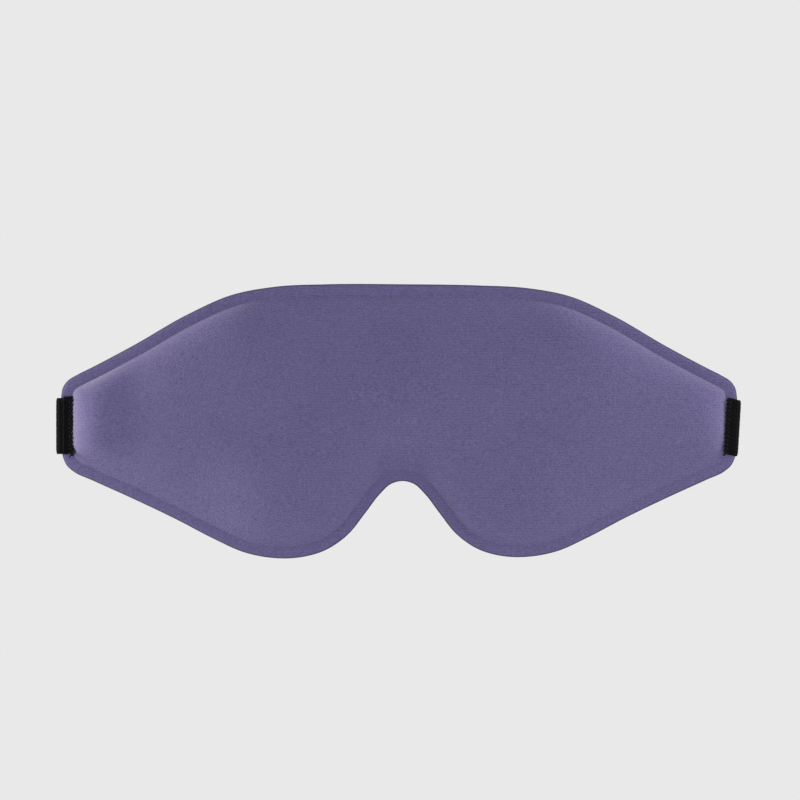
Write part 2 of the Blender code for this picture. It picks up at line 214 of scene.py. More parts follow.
def distance_to(points, loop, closed=True):
    """How far each point is from a line."""
    a = loop if closed else loop[:-1]
    b = np.roll(loop, -1, axis=0) if closed else loop[1:]
    d = b - a
    found = []
    for some in np.array_split(points, max(1, len(points) // 2000)):
        rel = some[:, None] - a
        t = np.clip((rel * d).sum(2) / (d * d).sum(1), 0, 1)
        found.append(np.linalg.norm(rel - t[..., None] * d, axis=2).min(1))
    return np.concatenate(found)


def inside(points, loop):
    """Which points a closed line goes round."""
    a, b = loop, np.roll(loop, -1, axis=0)
    found = []
    rise = np.where(b[:, 1] == a[:, 1], 1, b[:, 1] - a[:, 1])
    for some in np.array_split(points, max(1, len(points) // 2000)):
        x, z = some[:, 0, None], some[:, 1, None]
        crosses = (a[:, 1] > z) != (b[:, 1] > z)
        found.append((crosses & (x < a[:, 0] + (z - a[:, 1]) * (b[:, 0] - a[:, 0]) / rise)).sum(1) % 2 == 1)
    return np.concatenate(found)


def mirrored(points):
    """The same points on the other side of the middle, in the order that carries the line on."""
    return [(-x, z) for x, z in reversed(points)]


def pre_curve(x):
    """How far the middle of the rim stands behind the mask's middle."""
    return SWEEP * (x / HALF_WIDTH) ** 2


def ramp(value, low, high):
    """0 up to low, 1 from high, and smooth between."""
    t = np.clip((value - low) / (high - low), 0, 1)
    return t * t * (3 - 2 * t)


def ripple(points, size, seed):
    """A smooth random field of about +-1, its bumps about size across, the same on each run."""
    rng = random.Random(seed)
    total = np.zeros(len(points))
    for _ in range(RIPPLE_WAVES):
        angle = rng.uniform(0, 2 * math.pi)
        wave = 2 * math.pi / (size * rng.uniform(0.7, 1.6))
        phase = rng.uniform(0, ABOUT_A_TURN)
        total += np.sin((points[:, 0] * math.cos(angle) + points[:, 1] * math.sin(angle)) * wave + phase)
    return total / math.sqrt(RIPPLE_WAVES) / 1.4


HALF = [(x * MM, z * MM) for x, z in HALF_OUTLINE]
OUTLINE = smooth_line(HALF + mirrored(HALF[1:-1]), OUTLINE_STEP, closed=True)
OUTLINE *= LEFT_REACH + np.subtract(RIGHT_REACH, LEFT_REACH) * ramp(OUTLINE[:, :1], -45 * MM, 45 * MM)


def pad_line(side):
    """The middle line of an eye pad, anticlockwise as seen from the front."""
    line = smooth_line([(side * x * MM, z * MM) for x, z in PAD_LINE], OUTLINE_STEP, closed=True)
    return line if side > 0 else line[::-1]


def hollow_line(side):
    """The inner edge of an eye pad, where the bowl for the eye begins."""
    line = pad_line(side)
    return line - normals_of(line, closed=True) * PAD_WIDTH / 2


class Domain:
    """The mask's outline filled with fine triangles, with what is worked out once for every layer."""

    def __init__(self, pitch):
        normal = normals_of(OUTLINE, closed=True)
        rings = [OUTLINE - normal * offset * MM for offset in RING_OFFSETS]
        rows = np.arange(-52 * MM, 56 * MM, pitch * math.sqrt(3) / 2)
        grid = np.array([
            (x + (i % 2) * pitch / 2, z)
            for i, z in enumerate(rows)
            for x in np.arange(-HALF_WIDTH, HALF_WIDTH, pitch)
        ])
        grid = grid[inside(grid, OUTLINE)]
        grid = grid[distance_to(grid, OUTLINE) > RING_OFFSETS[-1] * MM + 0.55 * pitch]
        points, edges = [], []
        for ring in rings:
            first = len(points)
            points += [tuple(p) for p in ring]
            edges += [(first + i, first + (i + 1) % len(ring)) for i in range(len(ring))]
        points += [tuple(p) for p in grid]
        flat = delaunay_2d_cdt([Vector(p) for p in points], edges, [], 0, 1e-8, False)
        self.points = np.array([tuple(p) for p in flat[0]])
        triangles = np.array(flat[2])
        self.triangles = triangles[inside(self.points[triangles].mean(1), OUTLINE)]
        self.edge = distance_to(self.points, OUTLINE)
        self._weigh()

    def _weigh(self):
        """Cotangent weights of the edges and the area round each point, for soak()."""
        p, t = self.points, self.triangles
        ends, weights = [], []
        for k in range(3):
            i, j, o = t[:, (k + 1) % 3], t[:, (k + 2) % 3], t[:, k]
            a, b = p[i] - p[o], p[j] - p[o]
            cross = np.abs(a[:, 0] * b[:, 1] - a[:, 1] * b[:, 0]) + 1e-14
            cot = np.clip((a * b).sum(1) / cross, 0.02, 20) / 2
            ends += [np.stack([i, j], 1), np.stack([j, i], 1)]
            weights += [cot, cot]
        self.ends, self.weights = np.concatenate(ends), np.concatenate(weights)
        a, b = p[t[:, 1]] - p[t[:, 0]], p[t[:, 2]] - p[t[:, 0]]
        area = np.abs(a[:, 0] * b[:, 1] - a[:, 1] * b[:, 0]) / 2
        self.area = np.bincount(t.ravel(), np.repeat(area / 3, 3), len(p))
        self.pull = np.bincount(self.ends[:, 0], self.weights, len(p))

    def soak(self, source, run, held, rounds=500):
        """A field that follows source but can only change over about a run's length, 0 where held."""
        field = source.copy()
        field[held] = 0
        stiff = run * run
        below = self.area + stiff * self.pull
        for _ in range(rounds):
            near = np.bincount(self.ends[:, 0], self.weights * field[self.ends[:, 1]], len(field))
            field = (self.area * source + stiff * near) / below
            field[held] = 0
        return field


def top_middle(points):
    """1 along the middle of the top edge, where the rim runs into the front with hardly a step."""
    return ramp(-np.abs(points[:, 0]), -60 * MM, -36 * MM) * ramp(points[:, 1], 10 * MM, 30 * MM)


def moulding(points):
    """How the front rises from the rim: how firm its foot is, how far it rises, and the foot's share of that.

    The foot is firm at the ends, most of all at the left one, along the brow beside the middle and beside the
    notch. It is soft at the top of the notch and along the middle of the top. The bottom edge rises least.
    """
    x, z = points[:, 0], points[:, 1]
    left = ramp(-x, 92 * MM, 110 * MM) * ramp(z, -14 * MM, -5 * MM)
    right = ramp(x, 92 * MM, 110 * MM) * ramp(z, -8 * MM, 6 * MM)
    ends = left + 0.2 * right
    brow = ramp(np.abs(x), 34 * MM, 66 * MM) * ramp(z, -14 * MM, 4 * MM)
    nose = ramp(-np.abs(x), -34 * MM, -19 * MM) * ramp(-z, 2 * MM, 14 * MM)
    notch = ramp(-np.abs(x), -11 * MM, -5 * MM) * ramp(-z, 2 * MM, 12 * MM)
    low = ramp(np.abs(x), 46 * MM, 76 * MM) * ramp(-z, 4 * MM, 20 * MM)
    top = top_middle(points)
    firm = 1 - (1 - ends) * (1 - 0.8 * brow) * (1 - 0.7 * nose * (1 - notch))
    rise = SHOULDER * (0.8 + 0.2 * ends - 0.45 * low - 0.35 * notch - 0.1 * top)
    quick = 0.74 + 0.26 * ends - 0.3 * notch - 0.2 * low - 0.35 * top
    return firm, rise, quick


def lean_back(domain):
    """How far the rim leans towards the face at the top of the nose notch."""
    x, z = domain.points[:, 0], domain.points[:, 1]
    near = ramp(-np.abs(x), -15 * MM, -5 * MM) * ramp(-z, 6 * MM, 14 * MM)
    return NOTCH_TILT * near * np.clip(1 - domain.edge / (7 * MM), 0, 1) ** 2


def front_height(domain):
    """Y of the cover's outer face."""
    x, edge = domain.points[:, 0], domain.edge
    rim = edge < RIM + 0.02 * MM
    full = np.ones(len(x))
    firm, rise, quick = moulding(domain.points)
    foot = firm * domain.soak(full, FIRM_RUN, rim, 200) + (1 - firm) * domain.soak(full, SOFT_RUN, rim)
    shoulder = quick * foot + (1 - quick) * domain.soak(full, SLOW_RUN, rim, 1000)
    crown = domain.soak(full, CROWN_RUN, rim, 1800)
    turn = np.sqrt(1 - (1 - np.clip(edge / EDGE_ROUND, 0, 1)) ** 2)
    crease = CREASE * np.exp(-((edge - RIM) / (0.35 * MM)) ** 2) * (1 - 0.9 * top_middle(domain.points))
    give = 0.12 * MM * ripple(domain.points, 26 * MM, 3) * np.clip(edge / RIM, 0, 1)
    flat = pre_curve(x) - LAMINATE / 2 - LAMINATE / 2 * turn + lean_back(domain)
    return flat - rise * shoulder - CROWN * crown / crown.max() + crease + give


def back_height(domain):
    """Y of the lining's outer face, with a bowl for each eye."""
    x, edge = domain.points[:, 0], domain.edge
    hollow = np.zeros(len(x))
    for side in (1, -1):
        mouth = hollow_line(side)
        hollow += inside(domain.points, mouth) & (distance_to(domain.points, mouth) > 2.5 * MM)
    bowl = domain.soak(hollow, BOWL_RUN, np.zeros(len(x), bool), 250)
    turn = np.sqrt(1 - (1 - np.clip(edge / EDGE_ROUND, 0, 1)) ** 2)
    crease = 0.6 * CREASE * np.exp(-((edge - RIM) / (0.4 * MM)) ** 2)
    give = 0.08 * MM * ripple(domain.points, 22 * MM, 5) * np.clip(edge / RIM, 0, 1)
    flat = pre_curve(x) - LAMINATE / 2 + LAMINATE / 2 * turn + lean_back(domain)
    return flat - BOWL_DEPTH * bowl * 1.1 - crease + give


# ---------------------------------------------------------------- making objects


def add_mesh(name, vertices, faces, material, body=None, replaces=(), uv=None, edge_shade_marks=None):
    """A smooth-shaded piece, riding its body and standing in for the CAD nodes it replaces."""
    mesh = bpy.data.meshes.new(name)
    mesh.from_pydata([tuple(v) for v in vertices], [], [list(map(int, f)) for f in faces])
    if uv is not None:
        layer = mesh.uv_layers.new(name="weave")
        for loop in mesh.loops:
            layer.data[loop.index].uv = uv[loop.vertex_index]
    # these marks carry the painted shade along the cut edge, where the knit is darkened and loses its sheen
    if edge_shade_marks is not None:
        mesh.attributes.new("edge_shade", "FLOAT", "POINT").data.foreach_set("value", np.array(edge_shade_marks, np.float32))
    turner = bmesh.new()
    turner.from_mesh(mesh)
    bmesh.ops.recalc_face_normals(turner, faces=turner.faces)
    turner.to_mesh(mesh)
    turner.free()
    mesh.materials.append(material)
    mesh.shade_smooth()
    obj = bpy.data.objects.new(name, mesh)
    bpy.context.collection.objects.link(obj)
    if body:
        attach(obj, body)
    if replaces:
        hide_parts(*replaces)
    return obj


def add_layer(name, domain, outer, inner, material, slot, keep=None):
    """A closed layer between two heights over the domain's triangles."""
    points, triangles = domain.points, domain.triangles
    if keep is not None:
        triangles = triangles[keep[triangles].all(1)]
    used, index = np.unique(triangles, return_inverse=True)
    triangles = index.reshape(triangles.shape)
    count = len(used)
    flat = points[used]
    vertices = np.concatenate([
        np.stack([flat[:, 0], outer[used], flat[:, 1]], 1),
        np.stack([flat[:, 0], inner[used], flat[:, 1]], 1),
    ])
    faces = [tuple(f[::-1]) for f in triangles] + [tuple(f + count) for f in triangles]
    sides = {(int(f[i]), int(f[(i + 1) % 3])) for f in triangles for i in range(3)}
    faces += [(a, b, b + count, a + count) for a, b in sides if (b, a) not in sides]
    # painted shade along the cut edge: 1 at the edge, falling to 0 a little way in
    edge_shade_share = 1 - ramp(domain.edge[used], 0.1 * MM, EDGE_SHADE_WIDTH)
    return add_mesh(name, vertices, faces, material, "mask", (slot[0],), edge_shade_marks=np.tile(edge_shade_share, 2))


# ---------------------------------------------------------------- materials


class Shader:
    """A material's node tree, built a node at a time round its Principled BSDF."""

    def __init__(self, name):
        self.material = bpy.data.materials.new(name)
        self.material.use_nodes = True
        self.tree = self.material.node_tree
        self.surface = self.tree.nodes["Principled BSDF"]

    def put(self, socket, value):
        if isinstance(value, bpy.types.NodeSocket):
            self.tree.links.new(value, socket)
        else:
            socket.default_value = value

    def math(self, operation, a, b=0.0):
        node = self.tree.nodes.new("ShaderNodeMath")
        node.operation = operation
        self.put(node.inputs[0], a)
        self.put(node.inputs[1], b)
        return node.outputs[0]

    def coords(self, source="Object", scale=(1000, 1000, 1000)):
        """Texture coordinates, in millimetres unless another scale is asked for."""
        place = self.tree.nodes.new("ShaderNodeTexCoord")
        node = self.tree.nodes.new("ShaderNodeVectorMath")
        node.operation = "MULTIPLY"
        self.put(node.inputs[0], place.outputs[source])
        node.inputs[1].default_value = scale
        return node.outputs[0]

    def split(self, vector):
        node = self.tree.nodes.new("ShaderNodeSeparateXYZ")
        self.put(node.inputs[0], vector)
        return node.outputs[0], node.outputs[1], node.outputs[2]

    def noise(self, vector, size, detail=2.0, rough=0.5):
        """A noise between 0 and 1 whose blotches are about size millimetres across."""
        node = self.tree.nodes.new("ShaderNodeTexNoise")
        self.put(node.inputs["Vector"], vector)
        node.inputs["Scale"].default_value = 1 / size
        node.inputs["Detail"].default_value = detail
        node.inputs["Roughness"].default_value = rough
        return node.outputs["Fac"]

    def mix(self, factor, a, b):
        node = self.tree.nodes.new("ShaderNodeMix")
        node.data_type = "RGBA"
        self.put(node.inputs["Factor"], factor)
        for socket, value in (("A", a), ("B", b)):
            target = [s for s in node.inputs if s.name == socket and s.type == "RGBA"][0]
            self.put(target, (*value, 1) if isinstance(value, tuple) and len(value) == 3 else value)
        return [s for s in node.outputs if s.type == "RGBA"][0]

    def bump(self, height, distance, strength=1.0, under=None):
        node = self.tree.nodes.new("ShaderNodeBump")
        self.put(node.inputs["Height"], height)
        node.inputs["Distance"].default_value = distance
        node.inputs["Strength"].default_value = strength
        if under is not None:
            self.put(node.inputs["Normal"], under)
        return node.outputs[0]

    def finish(self, **values):
        for name, value in values.items():
            self.put(self.surface.inputs[name.replace("_", " ")], value)
        return self.material


def shifted(shader, value, amount, noise):
    """The value moved by up to half of amount each way."""
    return shader.math("ADD", value, shader.math("MULTIPLY", shader.math("SUBTRACT", noise, 0.5), amount))


def half_wave(shader, value, period):
    """A sine wave between 0 and 1."""
    turned = shader.math("MULTIPLY", value, 2 * math.pi / period)
    sine = shader.math("SINE", turned)
    return shader.math("ADD", shader.math("MULTIPLY", sine, 0.5), 0.5)


def knit(name, dark, light, sheen):
    """A fine brushed jersey: faint rows of V loops under a grain of heathered yarn and a soft fuzz."""
    s = Shader(name)
    place = s.coords()
    x, y, z = s.split(place)
    beyond = s.math("MINIMUM", s.math("ADD", x, ROW_TURN), 0.0)
    bias = s.math("DIVIDE", s.math("MULTIPLY", beyond, beyond), 4 * ROW_TURN)
    row = shifted(s, s.math("SUBTRACT", z, bias), 1.8, s.noise(place, 6.0, 2.0))
    wale = shifted(s, x, 1.6, s.noise(place, 6.0, 2.0))
    column = s.math("ABSOLUTE", s.math("SUBTRACT", s.math("FRACT", s.math("DIVIDE", wale, KNIT_WALE)), 0.5))
    loops = half_wave(s, s.math("ADD", row, s.math("MULTIPLY", column, KNIT_ROW * 0.9)), KNIT_ROW)
    yarn = s.math("MULTIPLY", loops, s.math("SUBTRACT", 1.0, s.math("MULTIPLY", column, 1.2)))
    grain = s.noise(place, GRAIN, 0.0)
    fibre = s.noise(place, 0.28, 2.0, 0.6)
    heather = s.noise(place, 2.2, 2.0)
    blotch = s.noise(place, 24.0, 2.0)
    tone = 0.5
    for field, middle, weight in (
        (grain, 0.5, 0.8), (fibre, 0.5, 0.35), (heather, 0.5, 0.15), (blotch, 0.5, 0.22), (yarn, 0.35, 0.30),
    ):
        tone = s.math("ADD", tone, s.math("MULTIPLY", s.math("SUBTRACT", field, middle), weight))
    colour = s.mix(tone, dark, light)
    # Painted shade along the cut edge: the colour darkens towards the edge and the sheen is taken away there.
    edge_shade = s.tree.nodes.new("ShaderNodeAttribute")
    edge_shade.attribute_name = "edge_shade"
    colour = s.mix(s.math("MULTIPLY", edge_shade.outputs["Fac"], 0.72), colour, tuple(0.28 * c for c in dark))
    height = s.math("ADD", s.math("MULTIPLY", yarn, 0.4), s.math("MULTIPLY", grain, 0.9))
    height = s.math("ADD", height, s.math("MULTIPLY", fibre, 0.5))
    normal = s.bump(height, 0.16 * MM, 0.6)
    return s.finish(
        Base_Color=colour, Roughness=0.9, Specular_IOR_Level=0.2, Normal=normal,
        Sheen_Weight=s.math("MULTIPLY", sheen, s.math("SUBTRACT", 1.0, edge_shade.outputs["Fac"])),
        Sheen_Roughness=0.38, Sheen_Tint=(0.98, 0.92, 1.0, 1),
    )


def woven_elastic(name):
    """Black woven elastic, its weave laid along the strap's own length and width."""
    s = Shader(name)
    place = s.coords("UV", (1000, 1000, 0))
    along, across, _ = s.split(place)
    weft = half_wave(s, along, WEFT)
    rib = half_wave(s, across, STRAP_RIB)
    check = half_wave(s, s.math("ADD", along, s.math("MULTIPLY", across, 0.5 * WEFT / STRAP_RIB)), WEFT)
    fibre = s.noise(place, 0.35, 3.0, 0.6)
    weave = s.math("ADD", s.math("MULTIPLY", weft, 0.45), s.math("MULTIPLY", check, 0.3))
    weave = s.math("ADD", weave, s.math("MULTIPLY", rib, 0.25))
    tone = s.math("ADD", s.math("MULTIPLY", weave, 0.6), s.math("MULTIPLY", fibre, 0.5))
    colour = s.mix(tone, (0.0012, 0.0012, 0.0016), (0.0075, 0.0075, 0.0085))
    height = s.math("ADD", weave, s.math("MULTIPLY", fibre, 0.35))
    normal = s.bump(height, 0.16 * MM, 0.8)
    return s.finish(
        Base_Color=colour, Roughness=0.85, Specular_IOR_Level=0.05, Normal=normal,
        Sheen_Weight=0.01, Sheen_Roughness=0.5,
    )


def moulded_plastic(name):
    """Satin black acetal with a faint moulding texture."""
    s = Shader(name)
    place = s.coords()
    grain = s.noise(place, 0.25, 3.0, 0.6)
    cloud = s.noise(place, 5.0, 3.0)
    colour = s.mix(cloud, (0.008, 0.008, 0.009), (0.016, 0.016, 0.017))
    rough = s.math("ADD", 0.30, s.math("MULTIPLY", cloud, 0.22))
    return s.finish(Base_Color=colour, Roughness=rough, Normal=s.bump(grain, 0.02 * MM, 0.5))


def sewing_thread(name):
    """Black polyester thread, twisted."""
    s = Shader(name)
    place = s.coords("UV", (1000, 1000, 0))
    along, around, _ = s.split(place)
    twist = half_wave(s, s.math("ADD", along, s.math("MULTIPLY", around, 0.6)), 0.45)
    colour = s.mix(twist, (0.002, 0.002, 0.003), (0.010, 0.010, 0.012))
    normal = s.bump(twist, 0.05 * MM, 0.8)
    return s.finish(Base_Color=colour, Roughness=0.6, Specular_IOR_Level=0.15, Normal=normal)


def foam_material(name):
    """Pale open-cell foam."""
    s = Shader(name)
    place = s.coords()
    cells = s.tree.nodes.new("ShaderNodeTexVoronoi")
    s.put(cells.inputs["Vector"], place)
    cells.inputs["Scale"].default_value = 2.2
    colour = s.mix(cells.outputs["Distance"], (0.42, 0.40, 0.35), (0.78, 0.76, 0.70))
    normal = s.bump(cells.outputs["Distance"], 0.3 * MM, 0.7)
    return s.finish(Base_Color=colour, Roughness=0.95, Normal=normal)


COVER = knit("cover_knit", (0.082, 0.070, 0.168), (0.186, 0.164, 0.340), 0.55)
LINING = knit("lining_knit", (0.072, 0.060, 0.145), (0.160, 0.138, 0.282), 0.40)
FOAM = foam_material("foam")
ELASTIC = woven_elastic("elastic")
PLASTIC = moulded_plastic("plastic")
THREAD = sewing_thread("thread")


# ---------------------------------------------------------------- the laminate


def add_laminate():
    """The cover, the lining and the foam between them, on one mesh so that they fit."""
    domain = Domain(PITCH)
    front, back = front_height(domain), back_height(domain)
    middle = pre_curve(domain.points[:, 0]) - LAMINATE / 2 + lean_back(domain)
    cloth = CLOTH * np.clip(domain.edge / (0.5 * MM), 0.1, 1)
    inner_front = np.minimum(front + cloth, middle - 0.03 * MM)
    inner_back = np.maximum(back - cloth, front + CLOTH * 1.2)
    inner_front = np.maximum(inner_front, front + 0.02 * MM)
    add_layer("front_cover_cloth", domain, front, inner_front, COVER, ("front_cover", "cover_knit"))
    add_layer("back_lining_cloth", domain, inner_back, back, LINING, ("back_lining", "lining_knit"))
    well_in = domain.edge > 0.6 * MM
    foam_front = front + CLOTH + BOND
    foam_back = np.maximum(back - CLOTH - BOND, foam_front + 0.15 * MM)
    foam = add_layer("foam_core_moulded", domain, foam_front, foam_back, FOAM, ("foam_core", "foam"), well_in)
    return domain, front


DOMAIN, FRONT = add_laminate()


def front_at(x, z):
    """Y of the cover's outer face at one place."""
    far = np.hypot(DOMAIN.points[:, 0] - x, DOMAIN.points[:, 1] - z)
    near = np.argpartition(far, 4)[:4]
    share = 1 / (far[near] + 0.01 * MM)
    return float((FRONT[near] * share).sum() / share.sum())


# ---------------------------------------------------------------- the pads on the back


def lay_on_lining(points):
    """Y of the flat of the lining under a pad."""
    return pre_curve(points[:, 0]) + PAD_GAP


def swept_points(line, section, closed, scale=None, pucker=None):
    """Points of a section of (across, up) values carried along a line on the lining, as a grid."""
    across = normals_of(line, closed)
    span = np.array(section)
    grid = np.zeros((len(line), len(span), 3))
    for i in range(len(line)):
        ring = span if scale is None else span * scale[i]
        if pucker is not None:
            ring = ring * (1 + pucker[i][:, None])
        flat = line[i] + across[i] * ring[:, :1]
        grid[i, :, 0], grid[i, :, 2] = flat[:, 0], flat[:, 1]
        grid[i, :, 1] = lay_on_lining(flat) + ring[:, 1]
    return grid


def tube_faces(count, size, closed):
    """Faces round a tube of count sections with size points each."""
    faces = []
    for i in range(count if closed else count - 1):
        a, b = i * size, (i + 1) % count * size
        faces += [(a + k, a + (k + 1) % size, b + (k + 1) % size, b + k) for k in range(size)]
    return faces


def end_cap(base, size):
    """Faces that close a section of size points, whose second half runs back beside its first."""
    return [(base + k, base + k + 1, base + size - 2 - k, base + size - 1 - k) for k in range(size // 2 - 1)]


def add_swept(name, grid, closed, material, swap):
    """A closed skin over a grid of sections; open lines get an end cap."""
    count, size = grid.shape[:2]
    faces = tube_faces(count, size, closed)
    if not closed:
        for base in (0, (count - 1) * size):
            faces += end_cap(base, size)
    return add_mesh(name, grid.reshape(-1, 3), faces, material, "mask", (swap,))


def swollen(grid):
    """A ring pad's outer skin after cloth simulation, fixed along both feet and pressed out from inside."""
    count, size = grid.shape[:2]
    centre = grid.mean((0, 1))
    start = (grid - centre) * SIM_SCALE
    mesh = bpy.data.meshes.new("pad_cloth")
    faces = []
    for i in range(count):
        a, b = i * size, (i + 1) % count * size
        faces += [(a + k, a + k + 1, b + k + 1, b + k) for k in range(size - 1)]
    mesh.from_pydata([tuple(v) for v in start.reshape(-1, 3)], [], faces)
    obj = bpy.data.objects.new("pad_cloth", mesh)
    bpy.context.collection.objects.link(obj)
    pins = obj.vertex_groups.new(name="feet")
    for i in range(count):
        pins.add([i * size, i * size + size - 1], 1.0, "REPLACE")
    cloth = obj.modifiers.new("cloth", "CLOTH")
    values = cloth.settings
    values.quality = 6
    values.mass = 0.3
    values.tension_stiffness = values.compression_stiffness = values.shear_stiffness = 18
    values.bending_stiffness = 0.4
    values.vertex_group_mass = "feet"
    values.use_pressure = True
    values.uniform_pressure_force = outward(grid) * 4.0
    values.shrink_min = values.shrink_max = -CLOTH_SLACK
    values.effector_weights.gravity = 0
    scene = bpy.context.scene
    for frame_number in range(1, SIM_FRAMES + 1):
        scene.frame_set(frame_number)
    shown = obj.evaluated_get(bpy.context.evaluated_depsgraph_get())
    done = shown.to_mesh()
    moved = np.zeros(len(done.vertices) * 3)
    done.vertices.foreach_get("co", moved)
    shown.to_mesh_clear()
    scene.frame_set(1)
    bpy.data.objects.remove(obj)
    move = (moved.reshape(start.shape) - start) / SIM_SCALE
    length = np.linalg.norm(move, axis=2, keepdims=True)
    return grid + move * np.minimum(1, SWELL_CAP / np.maximum(length, 1e-9))


def outward(grid):
    """1 if the grid's faces turn their front away from the lining, else -1."""
    along, across = grid[1, 7] - grid[0, 7], grid[0, 8] - grid[0, 7]
    return 1.0 if np.cross(across, along)[1] > 0 else -1.0


def skin_normals(grid):
    """Unit normals of a closed ring's skin, pointing away from the lining."""
    along = np.roll(grid, -1, axis=0) - np.roll(grid, 1, axis=0)
    across = np.gradient(grid, axis=1)
    normal = np.cross(across, along)
    normal /= np.linalg.norm(normal, axis=2, keepdims=True) + 1e-12
    return normal * outward(grid)


def sunk(skin, depth, clear):
    """The skin moved inwards by a depth, but not closer than clear to the lining."""
    grid = skin - skin_normals(skin) * depth
    base = lay_on_lining(skin.reshape(-1, 3)[:, ::2]).reshape(skin.shape[:2]) + clear
    grid[:, :, 1] = np.maximum(grid[:, :, 1], base)
    return grid


def arch(width, height, steps, square=1.0):
    """From one foot over the crown to the other. Below 1, square makes the shoulders fuller."""
    found = []
    for i in range(steps + 1):
        a = math.pi * i / steps
        c, s = math.cos(a), math.sin(a)
        found.append((math.copysign(abs(c) ** square, c) * width / 2, abs(s) ** square * height))
    return found


def gathers(count, steps, seed):
    """Small folds along a ring pad's skin, deepest on its inner side, as shares of the section."""
    rng = random.Random(seed)
    phase = [rng.uniform(0, ABOUT_A_TURN) for _ in range(6)]
    angles = np.linspace(0, math.pi, steps + 1)
    inward = np.clip(-np.cos(angles), 0, 1) ** 0.6 * np.sin(angles) ** 0.4
    outer = np.clip(np.cos(angles), 0, 1) * np.sin(angles) ** 0.4
    rows = []
    for i in range(count):
        along = i / count * 2 * math.pi
        fold = sum(math.sin(along * n + phase[k]) for k, n in enumerate((23, 31, 38, 47))) / 4
        lump = math.sin(along * 3 + phase[4]) * 0.5 + math.sin(along * 7 + phase[5]) * 0.5
        rows.append(0.045 * fold * inward + 0.02 * fold * outer + 0.012 * lump)
    return rows


def add_eye_pad(side, where):
    """A gathered skin that the simulation swells, and the foam ring inside it."""
    line = pad_line(side)
    folds = gathers(len(line), PAD_STEPS, 11 + side)
    skin = swept_points(line, arch(PAD_WIDTH, PAD_HEIGHT - SWELL, PAD_STEPS, 0.86), True, pucker=folds)
    skin = swollen(skin)
    both = np.concatenate([skin, sunk(skin, PAD_SKIN, 0)[:, ::-1]], axis=1)
    cover = add_swept("eye_pad_cloth_" + where, both, True, LINING, "eye_pad_cover_" + where)
    core = sunk(skin, PAD_SKIN + 0.2 * MM, 0.1 * MM)
    fill = add_swept("eye_pad_filling_" + where, core, True, FOAM, "eye_pad_foam_" + where)


def add_nose_wing(side, where):
    """A padded strip beside the notch, tapered at both ends."""
    notch = smooth_line(HALF[WING_SPAN], 0.8 * MM, closed=False)
    wing = (notch - normals_of(notch, closed=False) * (RIM + 0.3 * MM + WING_WIDTH / 2)) * (side, 1)
    reach = np.linspace(0, 1, len(wing))
    taper = np.clip(1 - np.abs(2 * reach - 1) ** 6, 0.02, 1) ** 0.5
    outer = arch(WING_WIDTH, WING_HEIGHT, WING_STEPS, 0.7)
    inner = arch(WING_WIDTH - 1.0 * MM, WING_HEIGHT - 0.5 * MM, WING_STEPS, 0.7)
    core = arch(WING_WIDTH - 1.3 * MM, WING_HEIGHT - 0.7 * MM, WING_STEPS, 0.7)
    both = swept_points(wing, outer + inner[::-1], False, taper)
    cover = add_swept(
        "nose_wing_cloth_" + where, both, False, LINING, "nose_wing_cover_" + where,
    )
    core = swept_points(wing[2:-2], core, False, taper[2:-2])
    fill = add_swept("nose_wing_filling_" + where, core, False, FOAM, "nose_wing_foam_" + where)


for side, where in ((1, "right"), (-1, "left")):
    add_eye_pad(side, where)
    add_nose_wing(side, where)


# ---------------------------------------------------------------- the elastic strap


def arc(centre, radius, start, end, steps=24):
    """Points of an arc in the XY plane, between two angles in degrees."""
    angles = [math.radians(start + (end - start) * i / steps) for i in range(steps + 1)]
    return [(centre[0] + radius * math.cos(a), centre[1] + radius * math.sin(a)) for a in angles]


def resample(line, step, soften=3):
    """The same line with even steps, its corners eased."""
    line = np.array(line, float)
    length = lengths_along(line)
    at = np.linspace(0, length[-1], max(4, int(length[-1] / step) + 1))
    line = np.stack([np.interp(at, length, line[:, k]) for k in range(2)], 1)
    for _ in range(soften):
        line[1:-1] = (line[:-2] + 2 * line[1:-1] + line[2:]) / 4
    return line


